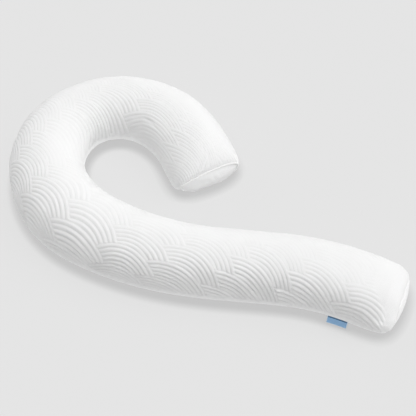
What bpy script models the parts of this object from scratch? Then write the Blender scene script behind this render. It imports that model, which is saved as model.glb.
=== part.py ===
"""Hook-shaped body pillow of white quilted cloth, lying on its back.

The pillow is one filled tube: a straight body that bends round into a hook, like a walking-stick
handle. Quilted cloth covers its top and sides down to a low side seam, plain cloth closes it
underneath, and a plain oval panel closes each end. A small folded label is sewn into the side seam.

Metres and degrees, +Z up. The floor is z = 0, and the origin is on it, under the middle of the
pillow's box. Each piece stands a hair off the next, so no two solids touch.
"""
from collections import namedtuple

import bpy
import numpy as np

# ---------------------------------------------------------------- driving dimensions

# One row for each section of the tube, from the tail to the tip of the hook. "along" is the distance
# along the middle line, "turn" how fast that line turns to the left there, in degrees for each metre,
# and "width" and "height" are the size of the filled tube. The turns and widths from 0.26 to 1.95 are a
# program's fit to the pillow's outline in a photo, rounded, and the rest is set by hand.
Section = namedtuple("Section", "along turn width height")
SECTIONS = (
    Section(0.00, 15, 0.216, 0.130),
    Section(0.12, 45, 0.206, 0.150),
    Section(0.26, 75, 0.202, 0.160),
    Section(0.46, 0, 0.208, 0.162),
    Section(0.66, -65, 0.212, 0.164),
    Section(0.86, -70, 0.222, 0.168),
    Section(1.03, -175, 0.234, 0.172),
    Section(1.18, -195, 0.228, 0.172),
    Section(1.33, -245, 0.216, 0.168),
    Section(1.49, -270, 0.202, 0.164),
    Section(1.64, -255, 0.204, 0.162),
    Section(1.79, -205, 0.216, 0.155),
    Section(1.95, -85, 0.216, 0.135),
    Section(2.03, 20, 0.218, 0.116),
)
LENGTH = SECTIONS[-1].along
TAIL_HEADING = 154.3       # the way from the tail into the body, from +X

# The two closed ends. The tube rolls in over the last "roll" metres to a flat oval seam, which is
# "top" high, has its side corners at "corner" and stands "lift" off the floor. "pull" is how far its
# sides roll in, "lens" the roundness of its underside, and "bulge" how far its panel swells out.
# "skew" turns the seam about the vertical and "lean" tips it over, in degrees.
End = namedtuple("End", "skew lean roll pull top corner lift lens bulge")
TAIL = End(3, 6, 0.045, 0.010, 0.072, 0.048, 0.004, 1.6, 0.012)
TIP = End(-5, 0, 0.045, 0.008, 0.082, 0.052, 0.004, 1.7, 0.014)
END_REACH = 0.12           # the section's roundness changes over this length before an end
SKEW_REACH = 0.25          # and an end's skew and lean fade out over this one

# The section: a rounded top over a flatter underside, which the floor presses flat.
UPPER_ROUNDNESS = 2.25
END_UPPER_ROUNDNESS = 2.0
LOWER_ROUNDNESS = 2.4
WIDEST = 0.44              # height of the widest line, as a share of the tube's height
SINK = 1.12                # how far down the underside would reach if the floor were not there

SEAM_ANGLE = 28.0          # the side seam lies this far round below the widest line
SEAM_GAP_ANGLE = 0.3       # and this keeps the edges of the two cloths apart
CLOTH = 0.002              # thickness of the plain cloth
GAP = 0.0003               # space between two pieces

LABEL_START = 0.122        # the label is sewn into the outer seam between these distances from the tail
LABEL_END = 0.188
LABEL_DROP = 0.024         # how far it stands out of the seam
LABEL_SLOPE = 41.0         # and how steeply it falls
LABEL_THICKNESS = 0.0012
LABEL_ROOT = 0.001         # space between the seam and the label's root

# How finely the solids are cut into faces.
STATIONS = 44
END_STATIONS = 5
TOP_POINTS = 19
UNDER_ANGLES = (38, 50, 61, 90)
CAP_SHARES = (1, 0.7, 0.35)
LABEL_STEPS = 6
SHARP_ANGLE = 40.0

Finish = namedtuple("Finish", "name color roughness")
QUILTED_CLOTH = Finish("white_quilted_knit", (0.86, 0.86, 0.86), 0.85)
PLAIN_CLOTH = Finish("white_plain_knit", (0.84, 0.84, 0.85), 0.85)
LABEL_CLOTH = Finish("blue_woven_label", (0.22, 0.41, 0.62), 0.7)


# ---------------------------------------------------------------- the shape of the filled tube


def column(name):
    """One column of the section table."""
    return np.array([getattr(row, name) for row in SECTIONS], float)


def between_rows(along, name):
    """A column read at any distance: a smooth cubic through the rows, with their mean slopes."""
    rows, values = column("along"), column(name)
    slopes = np.gradient(values, rows)
    i = np.clip(np.searchsorted(rows, along, side="right") - 1, 0, len(rows) - 2)
    step = rows[i + 1] - rows[i]
    t = (along - rows[i]) / step
    start = (2 * t**3 - 3 * t**2 + 1) * values[i] + (t**3 - 2 * t**2 + t) * step * slopes[i]
    return start + (3 * t**2 - 2 * t**3) * values[i + 1] + (t**3 - t**2) * step * slopes[i + 1]


def running_sum(values, step):
    """The area under a curve up to each of its points."""
    return np.concatenate([[0.0], np.cumsum((values[1:] + values[:-1]) / 2 * step)])


def middle_line(along):
    """Place, way ahead and way left on the middle line: the turns add up to its heading."""
    fine, step = np.linspace(0.0, LENGTH, 2001, retstep=True)
    turn = np.interp(fine, column("along"), column("turn"))
    heading = np.radians(TAIL_HEADING + running_sum(turn, step))
    x = np.interp(along, fine, running_sum(np.cos(heading), step))
    y = np.interp(along, fine, running_sum(np.sin(heading), step))
    heading = np.interp(along, fine, heading)
    flat = np.zeros_like(heading)
    ahead = np.stack([np.cos(heading), np.sin(heading), flat], -1)
    left = np.stack([-np.sin(heading), np.cos(heading), flat], -1)
    return np.stack([x, y, flat], -1), ahead, left


def tube(along, degrees):
    """Points of the pillow's outside: a row for each station, a column for each angle.

    Round a section the angle runs from the outer side (0) over the crown (90) to the inner side
    (180). A point goes sideways with the cosine and up with the sine, each raised to a power that
    squares the circle a little, and the floor cuts off what would reach below it.
    """
    width, height = between_rows(along, "width"), between_rows(along, "height")
    middle, floor = height * WIDEST, np.zeros_like(along)
    upper, lower = np.full_like(along, UPPER_ROUNDNESS), np.full_like(along, LOWER_ROUNDNESS)
    for end, distance in ((TAIL, along), (TIP, LENGTH - along)):
        near = np.clip(1 - distance / end.roll, 0, 1)
        rolled = 1 - np.sqrt(1 - near**2)
        width = width - 2 * end.pull * rolled
        height = height + (end.top - height) * rolled
        middle = middle + (end.corner - middle) * near**2 * (3 - 2 * near)
        floor = floor + end.lift * near**2
        share = np.clip(1 - distance / END_REACH, 0, 1)**2
        upper = upper + (END_UPPER_ROUNDNESS - upper) * share
        lower = lower + (end.lens - lower) * share
    width, height, middle, floor, upper, lower = (
        value[:, None] for value in (width, height, middle, floor, upper, lower))

    cosine, sine = np.cos(np.radians(degrees)), np.sin(np.radians(degrees))
    roundness = np.where(sine > 0, upper, lower)
    sideways = width / 2 * np.sign(cosine) * np.abs(cosine)**(2 / roundness)
    rise = np.abs(sine)**(2 / roundness)
    z = np.where(sine > 0, middle + (height - middle) * rise, middle * (1 - SINK * rise))
    z = np.maximum(z, floor)

    forward = np.zeros_like(sideways)
    for end, distance, way in ((TAIL, along, -1), (TIP, LENGTH - along, 1)):
        fade = way * np.clip(1 - distance / SKEW_REACH, 0, 1)[:, None]**2
        forward += fade * np.tan(np.radians(end.skew)) * sideways
        forward += fade * np.tan(np.radians(end.lean)) * (z - end.corner)
    place, ahead, left = middle_line(along)
    points = place[:, None] + ahead[:, None] * forward[..., None] + left[:, None] * sideways[..., None]
    points[..., 2] = z
    return points


def lining(along, degrees, depth):
    """Points of the pillow's outside moved into the filling by a depth, each in its own section."""
    tangent = tube(along, degrees + 1) - tube(along, degrees - 1)
    _, ahead, _ = middle_line(along)
    inward = np.cross(ahead[:, None], tangent)
    return tube(along, degrees) + depth * inward / np.linalg.norm(inward, axis=-1, keepdims=True)


def stations():
    """Distances of the cross sections: close together where the ends roll in, even between."""
    roll = 1 - np.sin(np.linspace(np.pi / 2, 0, END_STATIONS))
    body = np.linspace(TAIL.roll, LENGTH - TIP.roll, STATIONS)
    return np.concatenate([TAIL.roll * roll, body[1:-1], LENGTH - TIP.roll * roll[::-1]])


def top_angles():
    """Angles of the quilted cloth, from the outer side seam over the crown to the inner one."""
    return np.linspace(-SEAM_ANGLE, 180 + SEAM_ANGLE, TOP_POINTS)


def under_angles(edge):
    """Angles of the underside, from one side seam to the other, ending at the given edge angle."""
    half = np.array((edge, *UNDER_ANGLES), float)
    return np.concatenate([180 + half, 360 - half[-2::-1]])


# ---------------------------------------------------------------- solids from rings of points

Solid = namedtuple("Solid", "points faces")


def triangles(index):
    """Faces over a grid of point numbers, each cell cut the same way.

    Rows run ahead and columns round the tube, so that the faces look out of it.
    """
    here, beside = index[:-1, :-1], index[:-1, 1:]
    ahead, across = index[1:, :-1], index[1:, 1:]
    cells = np.stack([np.stack([here, beside, across], -1), np.stack([here, across, ahead], -1)])
    return cells.reshape(-1, 3)


def domed(ring, share, bulge, outward):
    """An end's oval shrunk to a share of its size, and swollen out as a dome towards its middle."""
    middle = (ring.min(axis=0) + ring.max(axis=0)) / 2
    return middle + share * (ring - middle) + (1 - share**2) * bulge * outward


def closed_rings(rings):
    """A solid through rings of points, its two ends closed with a fan to the middle of the last."""
    rings = np.stack(rings)
    count = rings.shape[1]
    index = np.arange(rings.shape[0] * count).reshape(-1, count)
    index = np.concatenate([index, index[:, :1]], axis=1)
    first, last = index.max() + 1, index.max() + 2
    start = np.stack([np.full(count, first), index[0, 1:], index[0, :-1]], -1)
    end = np.stack([np.full(count, last), index[-1, :-1], index[-1, 1:]], -1)
    points = np.concatenate([rings.reshape(-1, 3), rings[[0, -1]].mean(axis=1)])
    return Solid(points, np.concatenate([triangles(index), start, end]))


def quilted_body():
    """The filling with its quilted cloth, drawn in underneath to make room for the plain cloth."""
    along = stations()
    under = under_angles(SEAM_ANGLE)
    rings = np.concatenate([tube(along, top_angles()), lining(along, under, CLOTH + GAP)], axis=1)
    _, ahead, _ = middle_line(along[[0, -1]])
    tail = [domed(rings[0], share, TAIL.bulge, -ahead[0]) for share in CAP_SHARES[:0:-1]]
    tip = [domed(rings[-1], share, TIP.bulge, ahead[1]) for share in CAP_SHARES[1:]]
    return closed_rings([*tail, *rings, *tip])


def under_panel():
    """The plain cloth below, from one side seam to the other: flat where the pillow rests."""
    along = stations()
    under = under_angles(SEAM_ANGLE + SEAM_GAP_ANGLE)
    outside, inside = tube(along, under), lining(along, under, CLOTH)
    outer = np.arange(len(along) * len(under)).reshape(len(along), -1)
    inner = outer + outer.size
    faces = (
        triangles(outer),
        triangles(inner)[:, ::-1],
        triangles(np.stack([inner[:, 0], outer[:, 0]], axis=1)),
        triangles(np.stack([outer[:, -1], inner[:, -1]], axis=1)),
        triangles(np.stack([inner[0], outer[0]])),
        triangles(np.stack([outer[-1], inner[-1]])),
    )
    return Solid(np.concatenate([outside, inside]).reshape(-1, 3), np.concatenate(faces))


def end_panel(end, along, way):
    """A plain oval panel that closes one end: a shallow dome of cloth just off the filling."""
    angles = np.concatenate([top_angles(), under_angles(SEAM_ANGLE)[1:-1]])
    ring = tube(np.array([along]), angles)[0]
    _, ahead, _ = middle_line(np.array([along]))
    outward = way * ahead[0]
    inner = [domed(ring, share, end.bulge, outward) + GAP * outward for share in CAP_SHARES[::-1]]
    outer = [ring_points + CLOTH * outward for ring_points in inner[::-1]]
    rings = [*inner, *outer]
    return closed_rings(rings if way > 0 else rings[::-1])


def side_label():
    """The folded label: a small sheet that falls outwards from the outer side seam."""
    along = np.linspace(LABEL_START, LABEL_END, LABEL_STEPS)
    seam = tube(along, np.array([-SEAM_ANGLE]))[:, 0]
    _, _, left = middle_line(along)
    slope = np.radians(LABEL_SLOPE)
    up = np.array([0.0, 0.0, 1.0])
    fall = np.cos(slope) * left - np.sin(slope) * up
    face = np.sin(slope) * left + np.cos(slope) * up
    root, edge = seam + LABEL_ROOT * fall, seam + LABEL_DROP * fall
    half = LABEL_THICKNESS / 2 * face
    rings = np.stack([root + half, edge + half, edge - half, root - half], axis=1)
    return closed_rings(list(rings[:, ::-1]))


# ---------------------------------------------------------------- objects


def make_material(finish):
    """A plain cloth material of its own colour."""
    material = bpy.data.materials.new(finish.name)
    material.use_nodes = True
    shader = material.node_tree.nodes["Principled BSDF"]
    shader.inputs["Base Color"].default_value = (*finish.color, 1.0)
    shader.inputs["Roughness"].default_value = finish.roughness
    shader.inputs["Metallic"].default_value = 0.0
    return material


def make_object(name, points, faces, finish):
    """One closed solid as an object, smooth except at its sharp edges."""
    mesh = bpy.data.meshes.new(name)
    mesh.from_pydata(points.tolist(), [], faces.tolist())
    mesh.shade_smooth()
    mesh.set_sharp_from_angle(angle=np.radians(SHARP_ANGLE))
    mesh.materials.append(make_material(finish))
    bpy.context.scene.collection.objects.link(bpy.data.objects.new(name, mesh))


def build():
    """Make every piece, with the middle of the pillow's plan box over the origin."""
    pieces = (
        ("quilted_body", quilted_body(), QUILTED_CLOTH),
        ("under_panel", under_panel(), PLAIN_CLOTH),
        ("tail_end_panel", end_panel(TAIL, 0.0, -1), PLAIN_CLOTH),
        ("tip_end_panel", end_panel(TIP, LENGTH, 1), PLAIN_CLOTH),
        ("side_label", side_label(), LABEL_CLOTH),
    )
    everything = np.concatenate([solid.points for _, solid, _ in pieces])
    centre = (everything.min(axis=0) + everything.max(axis=0)) / 2
    centre[2] = 0.0
    for name, solid, finish in pieces:
        make_object(name, solid.points - centre, solid.faces, finish)


for old in list(bpy.data.objects):
    bpy.data.objects.remove(old, do_unlink=True)
build()
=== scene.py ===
"""Looks of the hook-shaped body pillow: white quilted cloth over a soft filling, plain cloth below.

Metres and degrees, +Z up, with the pillow lying on the floor at z = 0. The sections follow the pillow as
it is made up: the filling in its quilted cover, the plain cloth underneath, the two end panels, the folded
label, and last the plain studio that it is shown in.
"""

from collections import namedtuple

import bpy
import numpy as np
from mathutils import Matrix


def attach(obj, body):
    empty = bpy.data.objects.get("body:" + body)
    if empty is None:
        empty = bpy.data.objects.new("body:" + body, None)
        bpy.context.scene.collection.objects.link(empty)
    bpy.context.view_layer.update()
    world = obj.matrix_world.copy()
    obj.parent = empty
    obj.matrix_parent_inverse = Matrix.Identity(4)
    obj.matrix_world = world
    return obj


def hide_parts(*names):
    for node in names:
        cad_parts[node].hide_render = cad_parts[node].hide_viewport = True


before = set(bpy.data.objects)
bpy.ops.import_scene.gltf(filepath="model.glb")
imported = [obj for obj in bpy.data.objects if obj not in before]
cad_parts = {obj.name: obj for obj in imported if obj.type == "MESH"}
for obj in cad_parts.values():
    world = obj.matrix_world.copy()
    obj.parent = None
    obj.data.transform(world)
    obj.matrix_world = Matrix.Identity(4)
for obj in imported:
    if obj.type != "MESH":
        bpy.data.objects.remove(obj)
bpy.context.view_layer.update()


# ---------------------------------------------------------------- the filling in its quilted cover
# One filled tube that bends round into a hook, covered over its top and sides with a soft white knit.
# The knit is quilted before it is cut, with a traditional wave-fan repeat of puffed ridges, and it ends
# at a low seam on each side, where the edge of the cloth is turned in and stands out as a small lip.

# A row for each section of the tube, from the tail to the tip of the hook: its distance along the middle
# line, how fast the line turns to the left there in degrees for each metre, the tube's size, and how square
# its upper half is (2 is an oval, and more is squarer). The turns and widths from 0.26 to 1.95 are a
# program's fit to the pillow's outline in the photo, rounded, and TAIL_PLACE and TAIL_HEADING follow it.
Section = namedtuple("Section", "along turn width height square")
SECTIONS = (
    Section(0.00, 15, 0.216, 0.130, 2.35),
    Section(0.12, 45, 0.206, 0.150, 2.45),
    Section(0.26, 75, 0.202, 0.160, 2.45),
    Section(0.46, 0, 0.208, 0.162, 2.10),
    Section(0.66, -65, 0.212, 0.164, 2.12),
    Section(0.86, -70, 0.222, 0.168, 2.18),
    Section(1.03, -175, 0.234, 0.172, 2.08),
    Section(1.18, -195, 0.228, 0.172, 2.10),
    Section(1.33, -245, 0.216, 0.168, 2.30),
    Section(1.49, -270, 0.202, 0.164, 2.30),
    Section(1.64, -255, 0.204, 0.162, 2.25),
    Section(1.79, -205, 0.216, 0.155, 2.25),
    Section(1.95, -85, 0.216, 0.135, 2.20),
    Section(2.03, 20, 0.218, 0.116, 2.40),
)
LENGTH = SECTIONS[-1].along
TAIL_PLACE = (0.55876, -0.37780)
TAIL_HEADING = 154.3

# The closed ends: the tube rolls in over its last "roll" metres to a flat oval seam, "top" high, with its
# side corners at "corner" and "lift" off the floor. "pull" is how far its sides roll in, "lens" how square
# its underside is, "bulge" how far its panel swells, "edge" the size of the roll of cloth along its seam,
# and "skew" and "lean" turn and tip the seam and "warp" turns its upper side more. The corner on the outer
# side can be slacker: pulled in by a share "pinch", lower by "low", and less square by "droop".
End = namedtuple("End", "skew lean warp roll pull top corner lift lens bulge edge pinch low droop")
TAIL = End(skew=3, lean=6, warp=0, roll=0.045, pull=0.015, top=0.072, corner=0.048, lift=0.004, lens=1.6,
           bulge=0.012, edge=0.55, pinch=0.15, low=0.010, droop=1.0)
TIP = End(skew=-5, lean=0, warp=-4, roll=0.045, pull=0.008, top=0.077, corner=0.057, lift=0.004, lens=1.7,
          bulge=0.014, edge=1.35, pinch=0, low=0, droop=0)
END_REACH = 0.12                # the underside's change of form goes in so far from the end,
SKEW_REACH = 0.25               # the seam's turn and tip so far,
SLACK_REACH = 0.08              # and the slack corner so far
OUTER_SIDE = (0, 0.8)           # it sets in between these cosines of the angle

LOWER_SQUARE = 2.4              # how square the tube's lower half is
WIDEST = 0.44                   # the tube is widest at this share of its height
SINK = 1.12                     # how far past the floor its underside would go, in shares of that

SEAM_ANGLE = 28.0               # the side seams lie so far below the widest place
CLOTH = 0.002                   # thickness of the plain cloth
GAP = 0.0003                    # between two pieces
FINE_STEPS = 2001               # for sums along the middle line


def column(table, name):
    """One column of a table of rows."""
    return np.array([getattr(row, name) for row in table], float)


def between_rows(table, along, name):
    """A column read at any distance: a smooth cubic through the rows, with their mean slopes."""
    rows, values = column(table, "along"), column(table, name)
    slopes = np.gradient(values, rows)
    i = np.clip(np.searchsorted(rows, along, side="right") - 1, 0, len(rows) - 2)
    step = rows[i + 1] - rows[i]
    t = (along - rows[i]) / step
    start = (2 * t**3 - 3 * t**2 + 1) * values[i] + (t**3 - 2 * t**2 + t) * step * slopes[i]
    return start + (3 * t**2 - 2 * t**3) * values[i + 1] + (t**3 - t**2) * step * slopes[i + 1]


def running_sum(values, step):
    """The area under a curve up to each of its points, by trapezoids."""
    return np.concatenate([[0.0], np.cumsum((values[1:] + values[:-1]) / 2 * step)])


def middle_line(along):
    """Place, way ahead and way left on the middle line, whose turns add up to its heading."""
    fine, step = np.linspace(0.0, LENGTH, FINE_STEPS, retstep=True)
    turn = np.interp(fine, column(SECTIONS, "along"), column(SECTIONS, "turn"))
    heading = np.radians(TAIL_HEADING + running_sum(turn, step))
    x = TAIL_PLACE[0] + np.interp(along, fine, running_sum(np.cos(heading), step))
    y = TAIL_PLACE[1] + np.interp(along, fine, running_sum(np.sin(heading), step))
    heading = np.interp(along, fine, heading)
    flat = np.zeros_like(heading)
    ahead = np.stack([np.cos(heading), np.sin(heading), flat], -1)
    left = np.stack([-np.sin(heading), np.cos(heading), flat], -1)
    return np.stack([x, y, flat], -1), ahead, left


def smooth_step(value, low, high):
    """0 below low, 1 above high, and a smooth cubic between."""
    t = np.clip((value - low) / (high - low), 0, 1)
    return t * t * (3 - 2 * t)


def tube(along, degrees):
    """Points of the pillow's outside, a row for each distance and a column for each angle.

    Round a section the angle runs from the outer side (0) over the crown (90) to the inner side (180).
    A point goes sideways with the cosine and up with the sine, each raised to a power that squares the
    circle a little, and the floor cuts off what would reach below it.
    """
    width, height = between_rows(SECTIONS, along, "width"), between_rows(SECTIONS, along, "height")
    middle, floor = height * WIDEST, np.zeros_like(along)
    upper, lower = between_rows(SECTIONS, along, "square"), np.full_like(along, LOWER_SQUARE)
    cosine, sine = np.cos(np.radians(degrees)), np.sin(np.radians(degrees))
    outer, pinch, low, droop = smooth_step(cosine, *OUTER_SIDE), *np.zeros((3, len(along)))
    for end, distance in ((TAIL, along), (TIP, LENGTH - along)):
        near = np.clip(1 - distance / end.roll, 0, 1)
        rolled = 1 - np.sqrt(1 - near**2)
        width = width - 2 * end.pull * rolled
        height = height + (end.top - height) * rolled
        middle = middle + (end.corner - middle) * near**2 * (3 - 2 * near)
        floor = floor + end.lift * near**2
        lower = lower + (end.lens - lower) * np.clip(1 - distance / END_REACH, 0, 1)**2
        slack = np.clip(1 - distance / SLACK_REACH, 0, 1)**2
        pinch, low, droop = pinch + end.pinch * slack, low + end.low * slack, droop + end.droop * slack
    width, height, middle, floor, upper, lower, pinch, low, droop = (
        value[:, None] for value in (width, height, middle, floor, upper, lower, pinch, low, droop))

    square = np.where(sine > 0, upper - droop * outer, lower)
    middle = middle - low * outer
    sideways = width / 2 * (1 - pinch * outer) * np.sign(cosine) * np.abs(cosine)**(2 / square)
    rise = np.abs(sine)**(2 / square)
    z = np.where(sine > 0, middle + (height - middle) * rise, middle * (1 - SINK * rise))
    z = np.maximum(z, floor)

    forward = np.zeros_like(sideways)
    for end, distance, way in ((TAIL, along, -1), (TIP, LENGTH - along, 1)):
        fade = way * np.clip(1 - distance / SKEW_REACH, 0, 1)[:, None]**2
        forward += fade * np.tan(np.radians(end.skew)) * sideways
        forward += fade * np.tan(np.radians(end.lean)) * (z - end.corner)
        forward += fade * end.warp * sideways * np.maximum(z - end.corner, 0)
    place, ahead, left = middle_line(along)
    points = place[:, None] + ahead[:, None] * forward[..., None] + left[:, None] * sideways[..., None]
    points[..., 2] = z
    return points


def lining(along, degrees, depth):
    """Points of the pillow's outside moved into the filling by a depth, each in its own section."""
    tangent = tube(along, degrees + 1) - tube(along, degrees - 1)
    _, ahead, _ = middle_line(along)
    inward = np.cross(ahead[:, None], tangent)
    return tube(along, degrees) + depth * inward / np.linalg.norm(inward, axis=-1, keepdims=True)


# How the flat cloth lies on the tube: it is stretched round it (under 1) or gathered (over 1), by so much
# more for each metre towards the outer side, and has crept a little up the fans and across them. Round
# the inside of the bend it is drawn in by a share of the bend's turn. The rows' values are the output of a
# program that fitted the ridges to the photo's, rounded.
Lay = namedtuple("Lay", "along gather more up across")
LAYS = (
    Lay(0.00, 0.96, -0.20, -0.028, 0.008),
    Lay(0.20, 1.08, -1.30, -0.001, -0.006),
    Lay(0.40, 1.01, -0.85, -0.016, -0.018),
    Lay(0.60, 1.03, -0.30, -0.012, -0.012),
    Lay(0.75, 1.01, 0.25, 0.018, -0.005),
    Lay(0.90, 0.71, 0.10, 0.028, -0.007),
    Lay(1.05, 0.81, 0.10, 0.025, 0.008),
    Lay(1.20, 1.16, -0.20, 0.011, -0.006),
    Lay(1.40, 1.33, -0.20, -0.016, 0.002),
    Lay(1.60, 1.41, 0.00, 0.009, 0.006),
    Lay(1.80, 1.68, 0.00, 0.001, 0.030),
    Lay(2.03, 1.67, 0.30, -0.007, -0.004),
)
DRAWN_IN = 0.8
INNER_REACH = 0.07              # "more" stops growing here, on the inner side

# The wave-fan repeat on the flat cloth. Fans stand in columns, each fan the top of a circle, every one
# half covered by the next one below it, and each column is half a step above its neighbour. Its sizes and
# its place were fitted to ridges in the photo.
FAN_AXIS = np.radians(45.0)     # the way the fans point, from +X
FAN_ORIGIN = (-0.4146, -0.4827)   # a fan's middle, across and up the axis
FAN_RADIUS = 0.150
FAN_COLUMN = 0.1495             # from one column to the next
FAN_STEP = 0.05944              # from one fan to the next in its column
RIDGES = 5                      # ridges in one step
RIDGE_PITCH = FAN_STEP / RIDGES


def lengths(points, axis):
    """The length of the surface up to each point of a grid, along one of its ways."""
    steps = np.linalg.norm(np.diff(points, axis=axis), axis=-1)
    start = np.zeros_like(steps[:, :1] if axis else steps[:1])
    return np.concatenate([start, np.cumsum(steps, axis=axis)], axis=axis)


def on_flat_cloth(along, over, crown):
    """Where each point lay on the flat cloth, across and up the fans' axis: its place on the middle line,
    and to the side of that the cloth's length over the section, measured from the crown's column."""
    reach = over[:, crown:crown + 1] - over
    turn = np.radians(np.interp(along, column(SECTIONS, "along"), column(SECTIONS, "turn")))[:, None]
    inner = reach / (1 + DRAWN_IN * np.maximum(-turn, 0) * np.abs(reach))
    reach = np.where(reach < 0, inner, reach)
    gather, more = (between_rows(LAYS, along, name)[:, None] for name in ("gather", "more"))
    reach = reach * (gather + more * np.maximum(reach, -INNER_REACH))
    place, _, left = middle_line(along)
    flat = place[:, None] + left[:, None] * reach[..., None]
    across = flat[..., 0] * np.sin(FAN_AXIS) - flat[..., 1] * np.cos(FAN_AXIS)
    up = flat[..., 0] * np.cos(FAN_AXIS) + flat[..., 1] * np.sin(FAN_AXIS)
    across = across + between_rows(LAYS, along, "across")[:, None]
    up = up + between_rows(LAYS, along, "up")[:, None]
    return across - FAN_ORIGIN[0], up - FAN_ORIGIN[1]


def ridges_from_rim(across, up):
    """How many ridges each point lies in from the rim of the fan that shows there.

    In each of the three nearest columns the circles that reach the point are cut off below it, and the
    lowest one lies on top. The lowest of the three shows. Ridges are counted inwards from its rim.
    """
    columns = np.round(across / FAN_COLUMN) + np.array([-1, 0, 1])[:, None, None]
    aside = across - columns * FAN_COLUMN
    reach = np.sqrt(np.maximum(FAN_RADIUS**2 - aside**2, 0))
    shift = (columns % 2) * FAN_STEP / 2
    middle = np.ceil((up - reach - shift) / FAN_STEP) * FAN_STEP + shift
    top = middle.argmin(axis=0)[None]
    aside, middle = (np.take_along_axis(value, top, axis=0)[0] for value in (aside, middle))
    return (FAN_RADIUS - np.hypot(aside, up - middle)) / RIDGE_PITCH


def bell(distance, width):
    """1 at no distance, falling off smoothly over the width on both sides."""
    return np.exp(-(distance / width)**2)


# The cover's mesh: rows along the tube and columns round it, close together at the ends and the seams.
ROWS, END_ROWS, END_CROWDING = 526, 26, 1.15
ROW_ANGLE = 20.0                # the rows are even at this angle
COLUMNS, SEAM_COLUMNS = 126, 14
SEAM_BAND = 9.0                 # degrees of close columns above each side seam
UNDER_ANGLES = (SEAM_ANGLE, 38.0, 48.0, 56.0, 62.0, 90.0)   # close where the underside meets the floor


def cover_rows(count, end_count):
    """Distances of the rows: even along the outer side of the bend, and close where the ends roll in."""
    spread = np.linspace(0, 1, end_count)**END_CROWDING
    roll = 1 - np.sin(np.pi / 2 * (1 - spread))
    fine = np.linspace(TAIL.roll, LENGTH - TIP.roll, FINE_STEPS)
    length = lengths(tube(fine, np.array([ROW_ANGLE])), 0)[:, 0]
    body = np.interp(np.linspace(0, length[-1], count), length, fine)
    return np.concatenate([TAIL.roll * roll, body[1:-1], LENGTH - TIP.roll * roll[::-1]])


def cover_angles():
    """Angles of the quilted cloth's columns, from the outer side seam over the crown to the inner one."""
    close = np.linspace(0, SEAM_BAND, SEAM_COLUMNS)
    low, high = -SEAM_ANGLE, 180 + SEAM_ANGLE
    body = np.linspace(low + SEAM_BAND, high - SEAM_BAND, COLUMNS)
    return np.concatenate([low + close, body[1:-1], high - close[::-1]])


def outward_normals(points):
    """Unit normals of a grid of points whose rows run ahead and columns run over from left to right."""
    normal = np.cross(np.gradient(points, axis=1), np.gradient(points, axis=0))
    return normal / np.maximum(np.linalg.norm(normal, axis=-1, keepdims=True), 1e-12)


RIDGE_HEIGHT = 0.0022
FAN_TILT = 0.0010               # how much a fan's rim stands above its foot
PLAIN_BAND = (0.018, 0.028)     # the quilting dies away between these distances from the side seam
PLAIN_TIP = (0.004, 0.014)      # and between these from the tip
PLAIN_TAIL_ANGLES = (0, 32, 55, 80, 180)    # and so far from the tail, at these angles
PLAIN_TAIL = (0.024, 0.042, 0.080, 0.120, 0.100)
PLAIN_FADE = 0.020
LIP = 0.0075                    # how far the turned-in edge of the cloth stands out along the side seam
LIP_ROUND, LIP_FALL = 0.0080, 0.0180    # it rises in a quarter circle, and falls off so far from that
LIP_ENDS = (0.004, 0.022)       # it dies away between these distances from the ends
PUCKER = 0.0009                 # small gathers beside the seam: their height,
PUCKER_LENGTH = 0.024           # their length,
PUCKER_PLACE, PUCKER_WIDTH = 0.022, 0.009   # and how far from the seam and how wide their band is
LUMP = 0.0012                   # unevenness of the filling
LUMP_EDGE = (0.01, 0.05)        # it sets in between these distances from the side seam
UNEVEN, UNEVEN_SIZE = 0.30, 0.38    # unevenness of the ridges, in shares of their height and of the lumps

# How high the ridges stand, in shares of RIDGE_HEIGHT, at seven angles round the tube: the filling pulls
# the cloth flat over the crown and inside the bend, and it stays puffed where it is slack, lower down. Most
# of the heights are a program's, from how strongly the ridges show in the photo, rounded.
PUFF_ANGLES = (10, 40, 65, 85, 105, 135, 175)
Puff = namedtuple("Puff", "along low_outer outer high_outer crown high_inner inner low_inner")
PUFFS = (
    Puff(0.10, 1.7, 0.7, 0.4, 0.3, 0.25, 0.4, 0.7),
    Puff(0.25, 2.2, 1.1, 0.7, 0.45, 0.3, 0.4, 0.7),
    Puff(0.40, 2.4, 1.6, 0.9, 0.65, 0.25, 0.4, 0.7),
    Puff(0.70, 1.8, 1.35, 0.85, 0.75, 0.3, 0.35, 0.8),
    Puff(1.00, 1.8, 1.2, 1.15, 1.0, 0.45, 0.4, 0.7),
    Puff(1.12, 1.6, 1.1, 1.1, 1.0, 0.3, 0.4, 0.7),
    Puff(1.25, 1.4, 1.0, 1.1, 0.9, 0.15, 0.2, 0.9),
    Puff(1.37, 1.0, 0.8, 0.6, 0.5, 0.25, 0.6, 1.2),
    Puff(1.50, 0.7, 0.4, 0.25, 0.4, 0.6, 0.8, 1.1),
    Puff(1.62, 0.6, 0.4, 0.4, 0.8, 0.7, 0.65, 0.85),
    Puff(1.75, 0.6, 0.4, 0.3, 0.7, 0.85, 0.45, 0.5),
    Puff(1.88, 0.5, 0.4, 0.2, 0.7, 0.95, 0.6, 0.45),
    Puff(2.03, 0.45, 0.35, 0.25, 0.6, 0.85, 0.7, 0.6),
)

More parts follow.
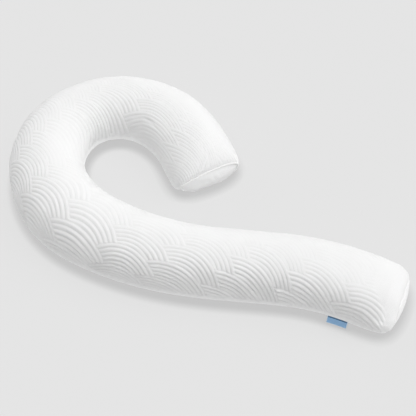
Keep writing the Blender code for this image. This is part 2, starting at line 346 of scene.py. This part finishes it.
# Creases and pinches: a groove (or a ridge, with depth below 0) at a distance and angle, so long, so wide
# and turned so many degrees from the tube's own way.
Crease = namedtuple("Crease", "along angle depth length width turn")
CREASES = (
    Crease(0.520, 14, 0.0050, 0.130, 0.0300, 0),
    Crease(1.050, 20, 0.0030, 0.100, 0.0350, 0),
    Crease(0.035, 10, -0.0060, 0.050, 0.0320, 0),
    Crease(1.940, 188, -0.0070, 0.090, 0.0350, 0),
    Crease(1.765, 137, 0.0030, 0.032, 0.0045, 0),
    Crease(1.690, 141, 0.0016, 0.024, 0.0050, -14),
    Crease(0.024, 30, 0.0030, 0.013, 0.0110, 60),
    Crease(0.034, 20, 0.0020, 0.022, 0.0050, 30),
    Crease(2.022, 100, -0.0026, 0.010, 0.0035, 20),
    Crease(2.020, 106, 0.0022, 0.010, 0.0035, 20),
    Crease(2.020, 94, 0.0022, 0.010, 0.0035, 20),
)


# Waves of unevenness: how fast each goes along the tube and over it, in radians a metre, and its start.
Wave = namedtuple("Wave", "along over start")
WAVES = (Wave(31, 17, 0.3), Wave(19, -29, 1.7), Wave(47, 41, 4.1), Wave(71, -23, 2.2), Wave(13, 53, 5.0))


def lumps(along, over, size=1.0):
    """The filling's unevenness: a few long sine waves along and round the tube, added up."""
    return sum(np.sin((wave.along * along[:, None] + wave.over * over) / size + wave.start)
               for wave in WAVES) / len(WAVES)


def puffed(along, degrees):
    """The share of their height that the ridges have: straight lines between the table's angles."""
    share = np.zeros((len(along), len(degrees)))
    for name, only in zip(Puff._fields[1:], np.eye(len(PUFF_ANGLES))):
        share += np.outer(between_rows(PUFFS, along, name), np.interp(degrees, PUFF_ANGLES, only))
    return share


def creases(along, degrees, over):
    """The depth that all the creases take away: each is a bell over its width and over its length."""
    taken = np.zeros_like(over)
    for crease in CREASES:
        row, place = np.abs(along - crease.along).argmin(), np.abs(degrees - crease.angle).argmin()
        turn = np.radians(crease.turn)
        x, y = along[:, None] - crease.along, over - over[row, place]
        lengthways, sideways = x * np.cos(turn) + y * np.sin(turn), y * np.cos(turn) - x * np.sin(turn)
        taken += crease.depth * bell(lengthways, crease.length) * bell(sideways, crease.width)
    return taken


def grid_faces(index):
    """Four-sided faces over a grid of point numbers, looking out when rows run ahead, columns round."""
    corners = (index[:-1, :-1], index[:-1, 1:], index[1:, 1:], index[1:, :-1])
    return np.stack(corners, -1).reshape(-1, 4)


def closed_rings(rings):
    """Points and faces of a solid through rings of points, each end closed with a fan of triangles."""
    count = rings.shape[1]
    index = np.arange(rings.shape[0] * count).reshape(-1, count)
    index = np.concatenate([index, index[:, :1]], axis=1)
    first, last = index.max() + 1, index.max() + 2
    start = np.stack([np.full(count, first), index[0, 1:], index[0, :-1]], -1)
    end = np.stack([np.full(count, last), index[-1, :-1], index[-1, 1:]], -1)
    points = np.concatenate([rings.reshape(-1, 3), rings[[0, -1]].mean(axis=1)])
    return points, [*grid_faces(index).tolist(), *start.tolist(), *end.tolist()]


def inset(ring, outward, distance):
    """A ring of an end moved towards its middle, square to itself and within the end's own plane."""
    along_ring = np.roll(ring, -1, axis=0) - np.roll(ring, 1, axis=0)
    inward = np.cross(outward, along_ring)
    inward /= np.maximum(np.linalg.norm(inward, axis=-1, keepdims=True), 1e-12)
    facing = np.sign(np.sum(inward * (ring.mean(axis=0) - ring)))
    return ring + facing * inward * np.reshape(distance, (-1, 1))


# Where the cover meets an end panel its edge is turned in and stands up as a roll: a circle of this
# radius round a point that lies so far inside the seam and so far out of the end.
END_ROLL = 0.0023
END_ROLL_PLACE = (0.0014, 0.0012)
END_ROLL_ROWS = 9
END_ROLL_TURN = (215, -35)      # where on its circle the roll leaves the cover and meets the panel
UNDER_ROLL = 0.7                # the roll's share along the underside
SLIM_FROM = 75.0                # it gets slimmer between this far from the crown and the side seams


def roll_size(degrees):
    """The roll's share over the quilted cloth, at angles round the tube."""
    from_crown = np.abs((degrees + 90) % 360 - 180)
    return np.interp(from_crown, (SLIM_FROM, 90 + SEAM_ANGLE), (1, UNDER_ROLL))


def end_roll(ring, outward, size):
    """Rings that go over the roll, from the cover's last row to the foot of the panel."""
    turns = np.radians(np.linspace(*END_ROLL_TURN, END_ROLL_ROWS + 1)[1:])
    return [inset(ring, outward, size * (END_ROLL_PLACE[0] + END_ROLL * np.cos(turn)))
            + outward * (size * (END_ROLL_PLACE[1] + END_ROLL * np.sin(turn)))[:, None] for turn in turns]


CAP_SHARES = (0.90, 0.6, 0.3)   # rings of the filling's end, in shares of its size
CAP_DEPTH = 0.009               # how far the filling stays behind an end panel


def quilted_cover():
    """Rings of the filled cover, and where each point lay on the flat cloth."""
    along, degrees = cover_rows(ROWS, END_ROWS), cover_angles()
    points = tube(along, degrees)
    over, length = lengths(points, 1), lengths(points, 0)
    seam = np.minimum(over, over[:, -1:] - over)
    across, up = on_flat_cloth(along, over, np.abs(degrees - 90).argmin())

    ridges = ridges_from_rim(across, up)
    swell = 0.5 - 0.5 * np.cos(2 * np.pi * ridges)
    quilted = smooth_step(seam, *PLAIN_BAND) * puffed(along, degrees)
    plain_tail = np.interp(degrees, PLAIN_TAIL_ANGLES, PLAIN_TAIL)
    quilted = quilted * smooth_step(length - plain_tail, 0, PLAIN_FADE)
    quilted = quilted * smooth_step(length[-1:] - length, *PLAIN_TIP)
    quilted = quilted * (1 + UNEVEN * lumps(along, over, UNEVEN_SIZE))
    relief = quilted * (RIDGE_HEIGHT * swell + FAN_TILT * (1 - np.clip(ridges / RIDGES, 0, 1)))
    lip = np.sqrt(1 - np.clip(1 - seam / LIP_ROUND, 0, 1)**2) * (
        1 - smooth_step(seam, LIP_ROUND, LIP_ROUND + LIP_FALL))
    lip = lip * smooth_step(np.minimum(length, length[-1:] - length), *LIP_ENDS)
    gathers = np.sin(2 * np.pi * length / PUCKER_LENGTH) * bell(seam - PUCKER_PLACE, PUCKER_WIDTH)
    relief = relief + LIP * lip + PUCKER * gathers
    relief = relief + LUMP * lumps(along, over) * smooth_step(seam, *LUMP_EDGE)
    relief = relief - creases(along, degrees, over)
    top = points + outward_normals(points) * relief[..., None]

    half = np.array(UNDER_ANGLES)
    under = np.concatenate([180 + half, 360 - half[-2::-1]])
    below = lining(along, under, CLOTH + GAP)
    rings = np.concatenate([top, below], axis=1)
    hidden = np.zeros(below.shape[:2])
    # The third number carries the quilting's share, whose grooves the material paints darker as painted
    # shade, less the lip's share, which it paints lighter as a painted highlight.
    cloth = np.stack([np.concatenate([value, hidden], axis=1) for value in (across, up, quilted - lip)], -1)

    size = np.concatenate([roll_size(degrees), np.full(len(under), UNDER_ROLL)])
    _, ahead, _ = middle_line(along[[0, -1]])
    ends = []
    for ring, end, outward in ((rings[0], TAIL, -ahead[0]), (rings[-1], TIP, ahead[1])):
        middle = (ring.min(axis=0) + ring.max(axis=0)) / 2
        cap = [middle + share * (ring - middle) + ((1 - share**2) * end.bulge - CAP_DEPTH) * outward
               for share in CAP_SHARES]
        ends.append(np.stack([*end_roll(ring, outward, size * end.edge), *cap]))
    rings = np.concatenate([ends[0][::-1], rings, ends[1]])
    edge = np.repeat(cloth[[0, -1]], len(ends[0]), axis=0) * (1, 1, 0)
    cloth = np.concatenate([edge[:len(ends[0])], cloth, edge[len(ends[0]):]])
    return rings, cloth


def new_piece(name, points, faces, material):
    """A smooth mesh of a piece, riding on the pillow's one body."""
    mesh = bpy.data.meshes.new(name)
    mesh.from_pydata(points.tolist(), [], faces)
    mesh.shade_smooth()
    mesh.materials.append(material)
    piece = bpy.data.objects.new(name, mesh)
    bpy.context.scene.collection.objects.link(piece)
    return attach(piece, "root")


def note_places(piece, name, places):
    """Keep a place for each point of a piece, for its material to read."""
    attribute = piece.data.attributes.new(name, "FLOAT_VECTOR", "POINT")
    attribute.data.foreach_set("vector", places.astype(np.float32).ravel())


class Wire:
    """One output of a shader node. Sums on it add Math nodes, and node() adds any other."""

    def __init__(self, tree, socket=None):
        self.tree, self.socket = tree, socket

    def node(self, kind, values=None, output=0, **settings):
        """A node of a kind: its settings first, then the values or links of its sockets."""
        node = self.tree.nodes.new(kind)
        for name, value in settings.items():
            setattr(node, name, value)
        for name, value in (values or {}).items():
            if isinstance(value, Wire):
                self.tree.links.new(value.socket, node.inputs[name])
            else:
                node.inputs[name].default_value = value
        return Wire(self.tree, node.outputs[output])

    def math(self, operation, *values):
        """A Math node of an operation on this and up to two more values."""
        return self.node("ShaderNodeMath", dict(enumerate((self, *values))), operation=operation)

    def __add__(self, other):
        return self.math("ADD", other)

    def __sub__(self, other):
        return self.math("SUBTRACT", other)

    def __rsub__(self, other):
        return self.node("ShaderNodeMath", {0: other, 1: self}, operation="SUBTRACT")

    def __mul__(self, other):
        return self.math("MULTIPLY", other)

    def __truediv__(self, other):
        return self.math("DIVIDE", other)

    def __mod__(self, other):
        return self.math("FLOORED_MODULO", other)

    def __pow__(self, other):
        return self.math("POWER", other)

    __radd__, __rmul__ = __add__, __mul__


SHEEN_ROUGHNESS = 0.45
CLOTH_SPECULAR = 0.2


def empty_material(name, **numbers):
    """A new material with the numbers that are the same all over it, its shader and a wire."""
    material = bpy.data.materials.new(name)
    material.use_nodes = True
    shader = material.node_tree.nodes["Principled BSDF"]
    for socket, number in numbers.items():
        shader.inputs[socket.replace("_", " ")].default_value = number
    return material, shader, Wire(material.node_tree)


def cloth_material(name, roughness, sheen):
    """An empty cloth material: matt, with a soft sheen from its fibres."""
    return empty_material(name, Roughness=roughness, Sheen_Weight=sheen, Sheen_Roughness=SHEEN_ROUGHNESS,
                          Specular_IOR_Level=CLOTH_SPECULAR)


def mixed(wire, factor, base, other):
    """The colour that lies between two others, each of them three numbers or a wire."""
    base, other = (value if isinstance(value, Wire) else (*value, 1) for value in (base, other))
    return wire.node("ShaderNodeMix", {"Factor": factor, 6: base, 7: other}, output=2, data_type="RGBA",
                     clamp_factor=True)


def finish(wire, shader, height, color):
    """Link a height to the shader's normal and a colour to its base."""
    bump = wire.node("ShaderNodeBump", {"Distance": 1.0, "Height": height})
    wire.tree.links.new(bump.socket, shader.inputs["Normal"])
    wire.tree.links.new(color.socket, shader.inputs["Base Color"])


def fan_ridges(across, up):
    """The same count of ridges as ridges_from_rim(), worked out for each spot of the surface."""
    nearest = (across / FAN_COLUMN).math("ROUND")
    lowest = lowest_aside = None
    for beside in (-1, 0, 1):
        fan_column = nearest + beside
        aside = across - fan_column * FAN_COLUMN
        reach = (FAN_RADIUS**2 - aside * aside).math("MAXIMUM", 0.0).math("SQRT")
        shift = fan_column % 2.0 * (FAN_STEP / 2)
        middle = ((up - reach - shift) / FAN_STEP).math("CEIL") * FAN_STEP + shift
        if lowest is None:
            lowest, lowest_aside = middle, aside
        else:
            wins = middle.math("LESS_THAN", lowest)
            lowest_aside = lowest_aside + wins * (aside - lowest_aside)
            lowest = lowest.math("MINIMUM", middle)
    drop = up - lowest
    return (FAN_RADIUS - (lowest_aside * lowest_aside + drop * drop).math("SQRT")) / RIDGE_PITCH


# The lip's white is a painted highlight and the grooves' grey is painted shade; the cloth's own white lies
# between.
LIP_PAINTED_HIGHLIGHT, GROOVE_PAINTED_SHADE = (0.95, 0.95, 0.95), (0.80, 0.80, 0.80)
SINGLE = 0.57                   # where the single cloth's white is between those two
GROOVE_DEPTH = 0.0006
GROOVE_SHARP, GROOVE_MOST = 3.0, 1.5    # a power that narrows the groove, and its greatest share
KNIT_ROW = 0.0016               # one row of stitches
KNIT_DEPTH = 0.00005


def quilted_knit():
    """White quilted knit: a sharp groove between the puffed ridges, painted darker as painted shade, and
    fine rows of stitches over all. The lip along the side seams is painted lighter, a painted highlight.

    The third number of its places is the share of quilting, or below 0 that of the lip, where the cloth is
    turned in and lies two layers thick.
    """
    material, shader, wire = cloth_material("white_quilted_knit", roughness=0.86, sheen=0.25)
    cloth = wire.node("ShaderNodeAttribute", attribute_name="cloth", output="Vector")
    parts = wire.node("ShaderNodeSeparateXYZ", {0: cloth}).socket.node.outputs
    across, up, share = (Wire(wire.tree, part) for part in parts)
    quilted, lip_highlight_share = share.math("MAXIMUM", 0.0), (share * -1.0).math("MAXIMUM", 0.0)
    ridges = fan_ridges(across, up)
    swell = (ridges * float(np.pi)).math("SINE").math("ABSOLUTE")
    groove = ((1 - swell) ** GROOVE_SHARP * quilted).math("MINIMUM", GROOVE_MOST)
    stitch = 2 * float(np.pi) / KNIT_ROW
    rows = ((across + up) * stitch).math("SINE") * ((across - up) * stitch).math("SINE")
    # The cloth's own white, lifted to a painted highlight on the lip and darkened to painted shade in the
    # grooves.
    shade = (1 - lip_highlight_share) * SINGLE + groove * (1 - SINGLE)
    height = rows * KNIT_DEPTH - groove * GROOVE_DEPTH
    finish(wire, shader, height, mixed(wire, shade, LIP_PAINTED_HIGHLIGHT, GROOVE_PAINTED_SHADE))
    return material


rings, cloth = quilted_cover()
points, faces = closed_rings(rings)
cover = new_piece("quilted_cover", points, faces, quilted_knit())
note_places(cover, "cloth", np.concatenate([cloth.reshape(-1, 3), np.zeros((2, 3))]))
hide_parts("quilted_body")


# ---------------------------------------------------------------- the plain cloth underneath
# A flat piece of plain knit that closes the pillow below. It is sewn to the quilted cloth along both
# sides, where it is gathered a little.

PLAIN_WHITE, PLAIN_SHADE = (0.855, 0.855, 0.855), (0.80, 0.80, 0.80)
JERSEY_ROW = 0.0012             # one row of stitches
JERSEY_DEPTH = 0.00004
CLOUD, CLOUD_SCALE, CLOUD_DETAIL = 0.15, 60.0, 3.0


def plain_knit():
    """White plain knit: fine rows of stitches both ways, with a faint cloudiness."""
    material, shader, wire = cloth_material("white_plain_knit", roughness=0.88, sheen=0.2)
    place = wire.node("ShaderNodeTexCoord", output="Object")
    parts = wire.node("ShaderNodeSeparateXYZ", {0: place}).socket.node.outputs
    x, y, z = (Wire(wire.tree, part) * (2 * float(np.pi) / JERSEY_ROW) for part in parts)
    rows = (x + z).math("SINE") * (y - z).math("SINE")
    cloud = wire.node("ShaderNodeTexNoise", {"Vector": place, "Scale": CLOUD_SCALE, "Detail": CLOUD_DETAIL})
    finish(wire, shader, rows * JERSEY_DEPTH, mixed(wire, cloud * CLOUD, PLAIN_WHITE, PLAIN_SHADE))
    return material


PLAIN = plain_knit()
SEAM_GAP_ANGLE = 0.3            # the plain cloth stays this far below the quilted one
PANEL_ROWS, PANEL_END_ROWS, PANEL_COLUMNS = 420, 14, 26
PANEL_PUCKER = 0.0010           # its gathers: their height,
PANEL_PUCKER_WIDTH = 0.018      # how far they reach from the seam,
PANEL_SWAY, PANEL_SWAY_TURNS = 1.3, 9   # how much and how often their spacing changes, in radians,
PANEL_OFF_FLOOR = (0.003, 0.012)    # and between which heights off the floor
PANEL_OFF_SEAM = (0.0, 0.004)   # and distances from the seam they set in


def under_panel():
    """A closed sheet that follows the underside from one side seam to the other."""
    along = cover_rows(PANEL_ROWS, PANEL_END_ROWS)
    half = np.linspace(SEAM_ANGLE + SEAM_GAP_ANGLE, 90, PANEL_COLUMNS)
    under = np.concatenate([180 + half, 360 - half[-2::-1]])
    outside, inside = tube(along, under), lining(along, under, CLOTH)
    over, length = lengths(outside, 1), lengths(outside, 0)
    seam = np.minimum(over, over[:, -1:] - over)
    waves = np.sin(2 * np.pi * length / PUCKER_LENGTH + PANEL_SWAY * np.sin(PANEL_SWAY_TURNS * length))
    free = smooth_step(outside[..., 2], *PANEL_OFF_FLOOR) * smooth_step(seam, *PANEL_OFF_SEAM)
    depth = PANEL_PUCKER * waves * bell(seam, PANEL_PUCKER_WIDTH) * free
    bend = depth[..., None] * outward_normals(outside)
    outer = np.arange(len(along) * len(under)).reshape(len(along), -1)
    inner = outer + outer.size
    faces = (
        grid_faces(outer),
        grid_faces(inner)[:, ::-1],
        grid_faces(np.stack([inner[:, 0], outer[:, 0]], axis=1)),
        grid_faces(np.stack([outer[:, -1], inner[:, -1]], axis=1)),
        grid_faces(np.stack([inner[0], outer[0]])),
        grid_faces(np.stack([outer[-1], inner[-1]])),
    )
    points = np.concatenate([outside + bend, inside + bend])
    return points.reshape(-1, 3), np.concatenate(faces).tolist()


points, faces = under_panel()
panel = new_piece("under_cloth", points, faces, PLAIN)
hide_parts("under_panel")


# ---------------------------------------------------------------- the two end panels
# Oval panels of the same plain knit that close the ends. They are sewn in behind the turned-in edge of
# the quilted cloth, and the filling pushes them out a little.

END_POINTS, END_RINGS = 240, 26
PANEL_INSET = 0.0034            # how far inside the seam a panel's edge is tucked behind the roll


def end_panel(end, along, way, shape):
    """Rings of a shallow dome of cloth: in along its inner face and out along its outer one.

    From the seam inwards its rings change from the seam's own form to the oval that is nearest to it, so
    that the seam's corners don't run on as creases.
    """
    angles = np.linspace(0, 360, END_POINTS, endpoint=False)
    _, ahead, left = middle_line(np.array([along]))
    outward = way * ahead[0]
    turns = np.stack([np.cos(np.radians(angles)), np.sin(np.radians(angles))])
    size = np.where(turns[1] > -np.sin(np.radians(SEAM_ANGLE)), roll_size(angles), 1)
    ring = inset(tube(np.array([along]), angles)[0], outward, PANEL_INSET * end.edge * size)
    middle = (ring.min(axis=0) + ring.max(axis=0)) / 2
    oval = turns.T @ (2 / END_POINTS * turns @ (ring - middle))

    def domed(share, lift):
        face = middle + share * (oval + share**2 * (ring - middle - oval))
        aside, up = (face - middle) @ left[0], face[:, 2] - middle[2]
        rise = (1 - share**2) * (end.bulge + shape(aside, up)) + lift
        return face + rise[:, None] * outward

    shares = np.linspace(0, 1, END_RINGS)[1:]
    rings = [domed(share, GAP) for share in shares] + [domed(share, GAP + CLOTH) for share in shares[::-1]]
    return np.stack(rings if way > 0 else rings[::-1])


WRINKLE = 0.0004                # height of the panels' faint wrinkles
TAIL_WRINKLES = (30, 220)       # their waves aside and up, in radians a metre
TIP_WRINKLES = (260, 120)
CORNER = 0.1                    # how far a panel's corners are from its middle

# Places on the tip's panel: how far to the outer side and up, and how wide and high.
Patch = namedtuple("Patch", "aside up width height")
TIP_HOLLOW, TIP_HOLLOW_DEPTH = Patch(-0.050, 0.012, 0.045, 0.022), 0.006
TIP_WRINKLED = Patch(0.020, 0.010, 0.030, 0.020)


def wrinkles(aside, up, waves):
    """Faint straight waves across a panel."""
    return WRINKLE * np.sin(waves[0] * aside + waves[1] * up)


def on_patch(aside, up, patch):
    """1 in the middle of a patch, falling off smoothly both ways."""
    return bell(aside - patch.aside, patch.width) * bell(up - patch.up, patch.height)


def tail_shape(aside, up):
    """The tail's panel has faint wrinkles that grow towards its corners."""
    return wrinkles(aside, up, TAIL_WRINKLES) * np.abs(aside) / CORNER


def tip_shape(aside, up):
    """The tip's panel sinks in towards its inner corner, with a few wrinkles across its middle."""
    hollow = TIP_HOLLOW_DEPTH * on_patch(aside, up, TIP_HOLLOW)
    return wrinkles(aside, up, TIP_WRINKLES) * on_patch(aside, up, TIP_WRINKLED) - hollow


for name, end, along, way, shape, node in (
        ("tail_panel", TAIL, 0.0, -1, tail_shape, "tail_end_panel"),
        ("tip_panel", TIP, LENGTH, 1, tip_shape, "tip_end_panel")):
    points, faces = closed_rings(end_panel(end, along, way, shape))
    piece = new_piece(name, points, faces, PLAIN)
    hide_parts(node)


# ---------------------------------------------------------------- the folded label
# A blue woven ribbon, folded in half and sewn into the outer side seam near the tail. Its weave has a
# darker band beside the seam and paler selvedges.

LABEL_START, LABEL_END = 0.122, 0.188   # along the middle line
LABEL_ROOT, LABEL_DROP = 0.001, 0.0265  # from the seam down to the fold
LABEL_SLOPE = 41.0              # how steeply it hangs
LABEL_CURL = 0.0014             # how far its lower corners lift
RIBBON = 0.0004
LABEL_FOLD = 0.0003             # half the space between the ribbon's two layers
LABEL_COLUMNS, LABEL_ROWS, FOLD_ROWS = 45, 16, 9


def side_label():
    """Rings across the ribbon's two layers, each down from the seam, round the fold and back."""
    along = np.linspace(LABEL_START, LABEL_END, LABEL_COLUMNS)
    seam = tube(along, np.array([-SEAM_ANGLE]))[:, 0]
    _, _, left = middle_line(along)
    slope, up = np.radians(LABEL_SLOPE), np.array([0.0, 0.0, 1.0])
    fall, face = np.cos(slope) * left - np.sin(slope) * up, np.sin(slope) * left + np.cos(slope) * up
    run = np.linspace(LABEL_ROOT, LABEL_DROP - LABEL_FOLD - RIBBON, LABEL_ROWS)
    turn = np.radians(np.linspace(90, -90, FOLD_ROWS))
    across = (along - along[0]) / (along[-1] - along[0])

    def layer(radius):
        down = np.concatenate([run[:-1], run[-1] + radius * np.cos(turn), run[-2::-1]])
        lift = np.concatenate([0 * run[:-1] + radius, radius * np.sin(turn), 0 * run[:-1] - radius])
        curl = LABEL_CURL * (down / LABEL_DROP)**2 * (2 * across[:, None] - 1)**2
        return seam[:, None] + fall[:, None] * down[:, None] + face[:, None] * (lift + curl)[..., None], down

    outer, down = layer(LABEL_FOLD + RIBBON)
    inner, _ = layer(LABEL_FOLD)
    rings = np.concatenate([outer, inner[:, ::-1]], axis=1)[:, ::-1]
    down = np.concatenate([down, down[::-1]])[::-1] / LABEL_DROP
    woven = np.stack(np.broadcast_arrays(across[:, None], down, 0.0), -1)
    return rings, woven


LABEL_BLUE, LABEL_PALE, LABEL_DARK = (0.31, 0.52, 0.78), (0.66, 0.80, 0.92), (0.075, 0.17, 0.30)
PALE_FROM = 0.475               # the pale edges start so far from the middle, in shares of the label's size
DARK_PLACE, DARK_HALF = 0.31, 0.09      # the dark band's middle, from the seam down, and half its height
THREADS_ACROSS, THREADS_DOWN, THREAD_DEPTH = 420.0, 180.0, 0.00005


def woven_ribbon():
    """A satin ribbon: blue, with a dark band near the seam and pale lines along its sides and its fold."""
    material, shader, wire = cloth_material("blue_woven_ribbon", roughness=0.55, sheen=0.1)
    place = wire.node("ShaderNodeAttribute", attribute_name="woven", output="Vector")
    parts = wire.node("ShaderNodeSeparateXYZ", {0: place}).socket.node.outputs
    across, down = (Wire(wire.tree, part) for part in parts[:2])
    edge = (across - 0.5).math("ABSOLUTE").math("MAXIMUM", down - 0.5)
    pale = edge.math("GREATER_THAN", PALE_FROM)
    dark = (down - DARK_PLACE).math("ABSOLUTE").math("LESS_THAN", DARK_HALF) * (1 - pale)
    threads = (across * THREADS_ACROSS).math("SINE") * (down * THREADS_DOWN).math("SINE")
    color = mixed(wire, dark, mixed(wire, pale, LABEL_BLUE, LABEL_PALE), LABEL_DARK)
    finish(wire, shader, threads * THREAD_DEPTH, color)
    return material


rings, woven = side_label()
points, faces = closed_rings(rings)
label = new_piece("folded_label", points, faces, woven_ribbon())
note_places(label, "woven", np.concatenate([woven.reshape(-1, 3), np.zeros((2, 3))]))
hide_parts("side_label")


# ---------------------------------------------------------------- the studio
# A plain pale floor that is lit from inside a little, as a light table is, so that the pillow's shadow
# stays faint; close to the pillow its glow is painted darker, a painted contact shadow. Four broad soft
# lights, a room with pale walls low down, and the camera. The strengths of the glow, the room's upper part
# and the lights, and the lights' ways, are a program's fit to the photo's tones.

FLOOR_SIZE = 30.0
FLOOR_GREY = 0.08
FLOOR_GLOW = 0.697
SHADE, SHADE_REACH, SHADE_EDGE = 0.27, 0.042, 2.3   # how much darker, how near, and how sharp its edge is
ROOM_LIGHT, WALL_LIGHT = 0.202, 0.76
WALL_TOP = (0.13, 0.20)         # the pale walls fade out between these sines of the elevation

mesh = bpy.data.meshes.new("floor")
half = FLOOR_SIZE / 2
corners = [(-half, -half, 0), (half, -half, 0), (half, half, 0), (-half, half, 0)]
mesh.from_pydata(corners, [], [(0, 1, 2, 3)])
floor = bpy.data.objects.new("floor", mesh)
bpy.context.scene.collection.objects.link(floor)
material, shader, wire = empty_material(
    "pale_floor", Base_Color=(FLOOR_GREY, FLOOR_GREY, FLOOR_GREY, 1), Roughness=1.0, Specular_IOR_Level=0.0,
    Emission_Strength=FLOOR_GLOW)
# The glow is painted darker where the occlusion node finds the pillow close by: a painted contact shadow on
# the floor.
occlusion_for_painted_shadow = wire.node("ShaderNodeAmbientOcclusion", {"Distance": SHADE_REACH}, output="AO", samples=16)
glow = 1 - ((1 - occlusion_for_painted_shadow) * SHADE_EDGE).math("MINIMUM", 1.0) * SHADE
wire.tree.links.new(mixed(wire, glow, (0, 0, 0), (1, 1, 1)).socket, shader.inputs["Emission Color"])
mesh.materials.append(material)

world = bpy.data.worlds.new("studio")
bpy.context.scene.world = world
world.use_nodes = True
wire = Wire(world.node_tree)
way = wire.node("ShaderNodeTexCoord", output="Generated")
rise = wire.node("ShaderNodeSeparateXYZ", {0: way}, output="Z")
above = (rise - WALL_TOP[0]) / (WALL_TOP[1] - WALL_TOP[0])
color = mixed(wire, above, [WALL_LIGHT] * 3, [ROOM_LIGHT] * 3)
wire.tree.links.new(color.socket, world.node_tree.nodes["Background"].inputs["Color"])

# A row for each light: where it comes from (0 from +Y, 90 from +X), how high it stands and how strong it is.
SUN_SPREAD = 50.0
Sun = namedtuple("Sun", "name azimuth elevation strength")
SUNS = (
    Sun("high_light_behind", 60, 60, 1.21),
    Sun("high_light_in_front", 180, 60, 0.87),
    Sun("low_light_at_the_right", 90, 30, 0.85),
    Sun("low_light_at_the_left", 315, 30, 0.83),
)
for sun in SUNS:
    light = bpy.data.lights.new(sun.name, "SUN")
    light.energy, light.angle = sun.strength, np.radians(SUN_SPREAD)
    lamp = bpy.data.objects.new(sun.name, light)
    bpy.context.scene.collection.objects.link(lamp)
    lamp.rotation_euler = (np.radians(90 - sun.elevation), 0, np.radians(180 - sun.azimuth))

CAMERA_ELEVATION = 52.0
CAMERA_DISTANCE = 3.5
CAMERA_LOOKS_AT = (0.0123, 0.0116, 0.0)
CAMERA_LENS = 97.7

camera = bpy.data.cameras.new("camera")
camera.lens, camera.sensor_width = CAMERA_LENS, 36
viewer = bpy.data.objects.new("camera", camera)
bpy.context.scene.collection.objects.link(viewer)
tilt = np.radians(CAMERA_ELEVATION)
viewer.location = (
    CAMERA_LOOKS_AT[0],
    CAMERA_LOOKS_AT[1] - CAMERA_DISTANCE * np.cos(tilt),
    CAMERA_LOOKS_AT[2] + CAMERA_DISTANCE * np.sin(tilt),
)
viewer.rotation_euler = (np.pi / 2 - tilt, 0, 0)
bpy.context.scene.camera = viewer
bpy.context.scene.view_settings.view_transform = "Standard"
